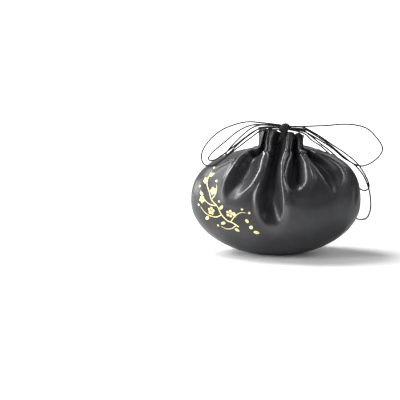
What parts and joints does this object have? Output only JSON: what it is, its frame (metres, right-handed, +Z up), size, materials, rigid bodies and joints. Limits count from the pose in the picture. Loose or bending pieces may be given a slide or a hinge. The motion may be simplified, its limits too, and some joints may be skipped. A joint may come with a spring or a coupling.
{
  "type": "drawstring pouch",
  "caption": "Round soft leather kinchaku pouch, gathered into pleats at the neck by a doubled drawcord laced through punched holes and tied in a bow.",
  "frame": {"origin": "middle of the flat-pressed base, on the surface that the pouch stands on", "axes": "+Z up towards the mouth, +X to the right in front view along the pouch's width, and the front with the bow faces -Y"},
  "size_m": [0.1785, 0.0848, 0.1268],
  "materials": {
    "black_leather": "smooth, semi-gloss",
    "black_cord": "waxed, satin"
  },
  "bodies": {
    "root": {"front_panel": "black_leather", "back_panel": "black_leather", "drawcord_lacing_upper": "black_cord", "drawcord_lacing_lower": "black_cord", "bow_knot": "black_cord", "loop_left_outer": "black_cord", "loop_left_inner": "black_cord", "loop_left_tail": "black_cord", "loop_right_big": "black_cord", "loop_right_long": "black_cord", "loop_right_tail": "black_cord"}
  },
  "joints": []
}
